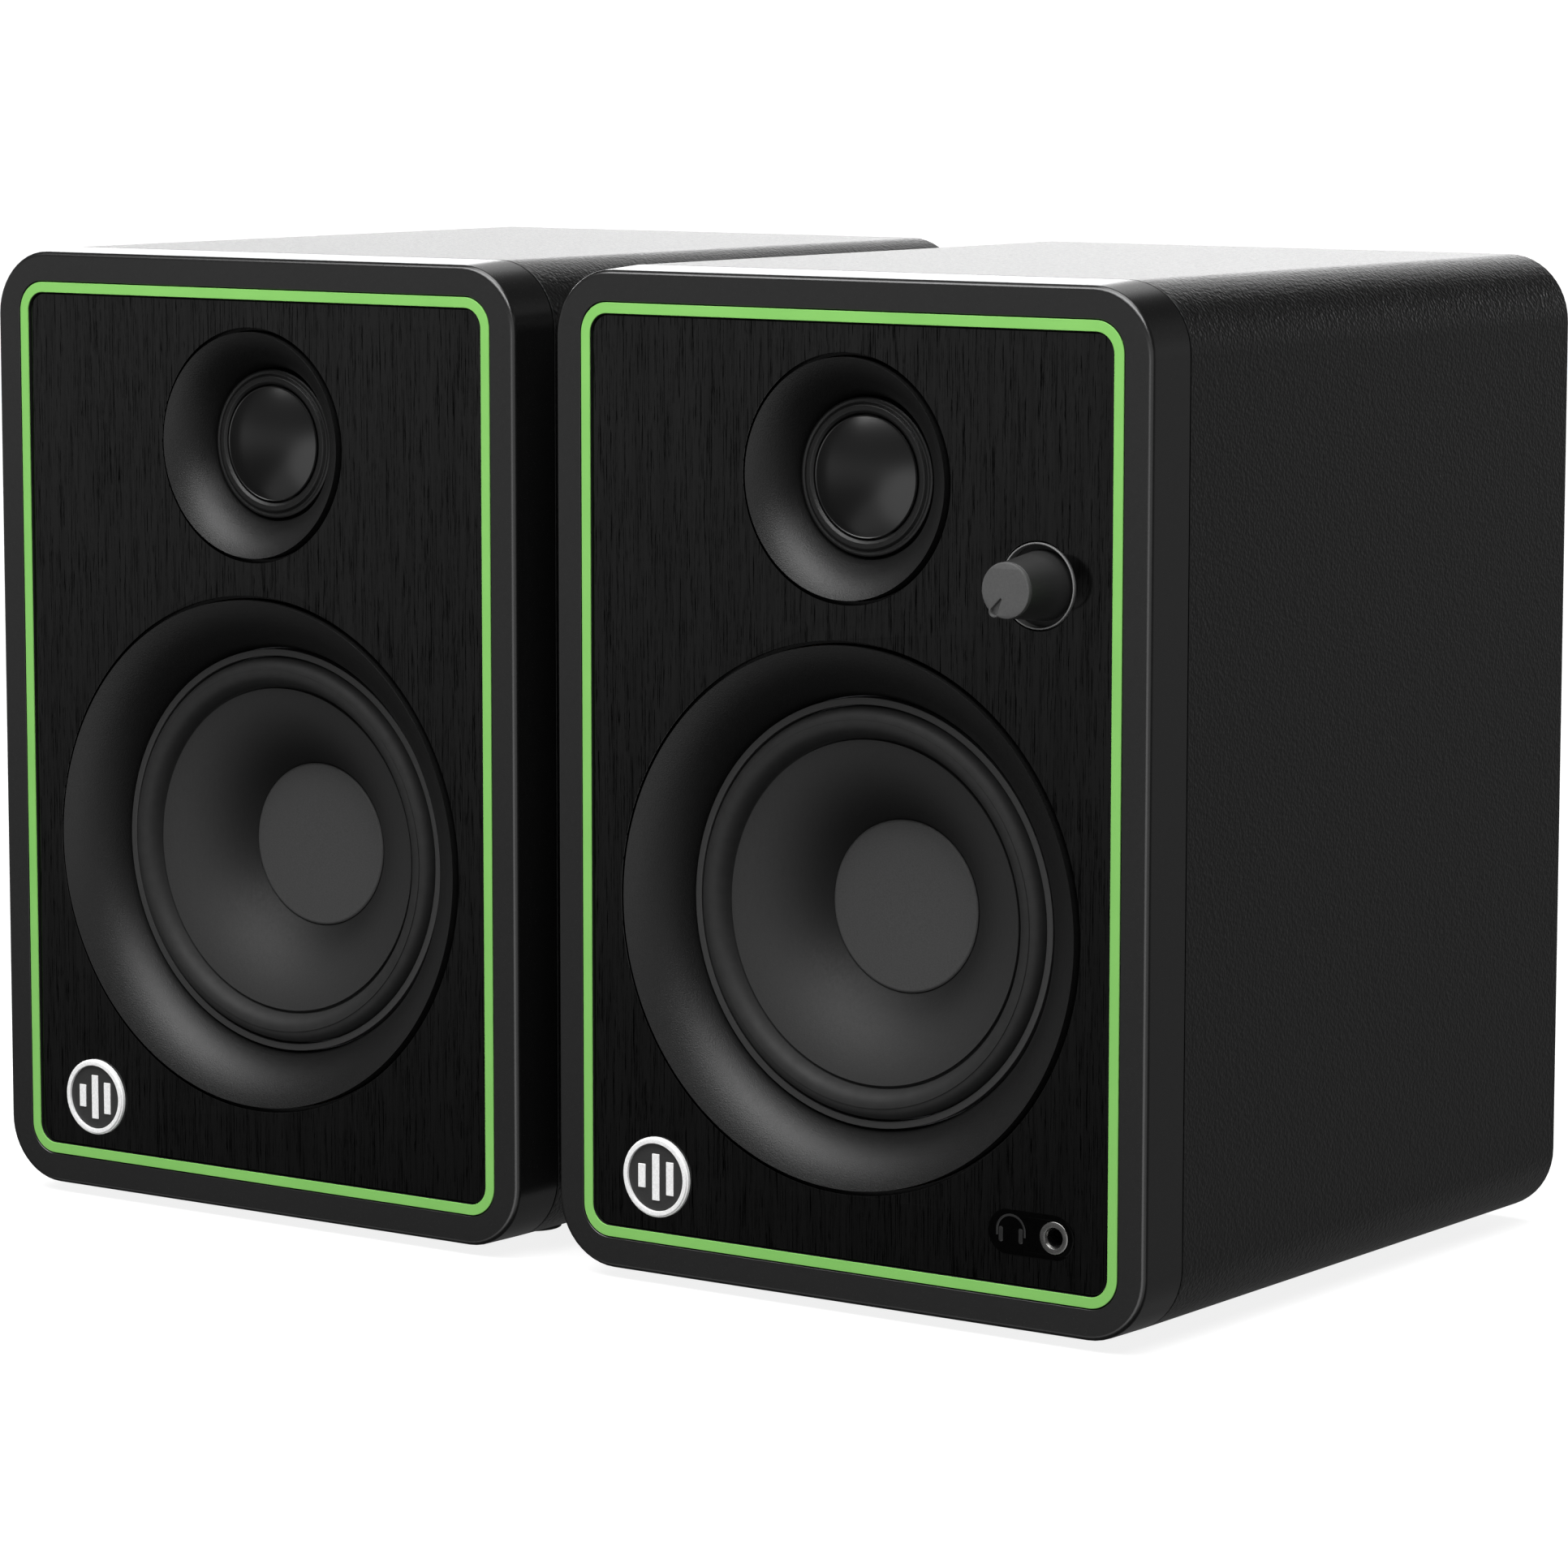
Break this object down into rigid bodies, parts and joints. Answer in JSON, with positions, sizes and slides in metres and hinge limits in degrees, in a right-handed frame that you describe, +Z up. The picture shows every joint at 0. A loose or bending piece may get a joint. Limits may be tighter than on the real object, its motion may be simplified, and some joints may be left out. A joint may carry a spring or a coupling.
{
  "type": "pair of desktop speakers",
  "caption": "Pair of black two-way desktop speakers with green trim: an active one with volume knob and headphone socket, and a passive one.",
  "frame": {"origin": "under the middle of the pair, on the surface that it stands on", "axes": "+Z up, the fronts face -Y, the active speaker on the +X side"},
  "size_m": [0.3262, 0.1998, 0.2277],
  "materials": {
    "cabinet_vinyl": "fibreboard wrapped in black fine-grained vinyl",
    "bare_board": "bare fibreboard",
    "bezel_plastic": "finely textured satin black moulding",
    "green_trim": "bright green satin moulding",
    "brushed_plate": "black anodised, brushed upright, glossy",
    "badge_metal": "polished rim round a dark disc",
    "satin_plastic": "satin black moulding",
    "soft_rubber": "matt black rubber",
    "cone_paper": "coated black paper cone",
    "cap_paper": "matt dark grey dust cap",
    "silk": "coated fine-woven silk",
    "spider_cloth": "resin-stiffened yellow cloth",
    "pressed_steel": "plain pressed steel",
    "magnet": "dark ferrite between plated steel plates",
    "knob_plastic": "satin black side, soft grey face",
    "light_pipe": "clear grey light ring, unlit",
    "gloss_label": "polished black",
    "nickel": "bright nickel plate",
    "amp_aluminium": "black anodised",
    "circuit_board": "green solder mask",
    "socket_plastic": "black moulding",
    "red_plastic": "red moulding"
  },
  "bodies": {
    "active_speaker": {"active_cabinet": "cabinet_vinyl", "active_baffle": "bare_board", "active_back_panel": "cabinet_vinyl", "active_front_bezel": "bezel_plastic", "active_trim_band": "green_trim", "active_front_plate": "brushed_plate", "active_badge": "badge_metal", "active_tweeter_waveguide": "satin_plastic", "active_tweeter_ring": "satin_plastic", "active_tweeter_magnet": "magnet", "active_woofer_trim_ring": "satin_plastic", "active_woofer_surround": "soft_rubber", "active_woofer_spider": "spider_cloth", "active_woofer_basket": "pressed_steel", "active_woofer_magnet": "magnet", "active_port_tube": "socket_plastic", "active_foot_front_left": "soft_rubber", "active_foot_front_right": "soft_rubber", "active_foot_rear_left": "soft_rubber", "active_foot_rear_right": "soft_rubber", "active_volume_pot": "circuit_board", "active_light_ring": "light_pipe", "active_headphone_label": "gloss_label", "active_headphone_jack": "nickel", "active_amp_plate": "amp_aluminium", "active_amp_board": "circuit_board", "active_transformer": "pressed_steel", "active_line_sockets": "nickel", "active_mains_inlet": "socket_plastic"},
    "passive_speaker": {"passive_cabinet": "cabinet_vinyl", "passive_baffle": "bare_board", "passive_back_panel": "cabinet_vinyl", "passive_front_bezel": "bezel_plastic", "passive_trim_band": "green_trim", "passive_front_plate": "brushed_plate", "passive_badge": "badge_metal", "passive_tweeter_waveguide": "satin_plastic", "passive_tweeter_ring": "satin_plastic", "passive_tweeter_magnet": "magnet", "passive_woofer_trim_ring": "satin_plastic", "passive_woofer_surround": "soft_rubber", "passive_woofer_spider": "spider_cloth", "passive_woofer_basket": "pressed_steel", "passive_woofer_magnet": "magnet", "passive_port_tube": "socket_plastic", "passive_foot_front_left": "soft_rubber", "passive_foot_front_right": "soft_rubber", "passive_foot_rear_left": "soft_rubber", "passive_foot_rear_right": "soft_rubber", "passive_terminal_cup": "socket_plastic"},
    "volume_control": {"active_volume_knob": "knob_plastic", "active_volume_shaft": "pressed_steel"},
    "active_woofer": {"active_woofer_cone": "cone_paper", "active_woofer_dust_cap": "cap_paper"},
    "active_tweeter": {"active_tweeter_dome": "silk"},
    "passive_woofer": {"passive_woofer_cone": "cone_paper", "passive_woofer_dust_cap": "cap_paper"},
    "passive_tweeter": {"passive_tweeter_dome": "silk"},
    "red_clip": {"passive_clip_lever_red": "red_plastic"},
    "black_clip": {"passive_clip_lever_black": "socket_plastic"}
  },
  "joints": [
    {"name": "passive_placing", "type": "slide", "parent": "active_speaker", "child": "passive_speaker", "axis": [-1, 0, 0], "range_m": [0, 0.4]},
    {"name": "volume_turn", "type": "hinge", "parent": "active_speaker", "child": "volume_control", "pos_m": [0.1338, -0.0882, 0.1633], "axis": [0, 1, 0], "range_deg": [0, 300]},
    {"name": "active_woofer_travel", "type": "slide", "parent": "active_speaker", "child": "active_woofer", "axis": [0, -1, 0], "range_m": [-0.003, 0.003], "stiffness_N_per_m": 900, "deforming": ["active_woofer_surround", "active_woofer_spider"]},
    {"name": "active_tweeter_travel", "type": "slide", "parent": "active_speaker", "child": "active_tweeter", "axis": [0, -1, 0], "range_m": [-0.0004, 0.0004], "stiffness_N_per_m": 1500},
    {"name": "passive_woofer_travel", "type": "slide", "parent": "passive_speaker", "child": "passive_woofer", "axis": [0, -1, 0], "range_m": [-0.003, 0.003], "stiffness_N_per_m": 900, "deforming": ["passive_woofer_surround", "passive_woofer_spider"]},
    {"name": "passive_tweeter_travel", "type": "slide", "parent": "passive_speaker", "child": "passive_tweeter", "axis": [0, -1, 0], "range_m": [-0.0004, 0.0004], "stiffness_N_per_m": 1500},
    {"name": "red_clip_press", "type": "hinge", "parent": "passive_speaker", "child": "red_clip", "pos_m": [-0.0732, 0.0839, 0.0678], "axis": [1, 0, 0], "range_deg": [0, 20], "stiffness_Nm_per_rad": 0.15},
    {"name": "black_clip_press", "type": "hinge", "parent": "passive_speaker", "child": "black_clip", "pos_m": [-0.0952, 0.0839, 0.0678], "axis": [1, 0, 0], "range_deg": [0, 20], "stiffness_Nm_per_rad": 0.15}
  ]
}
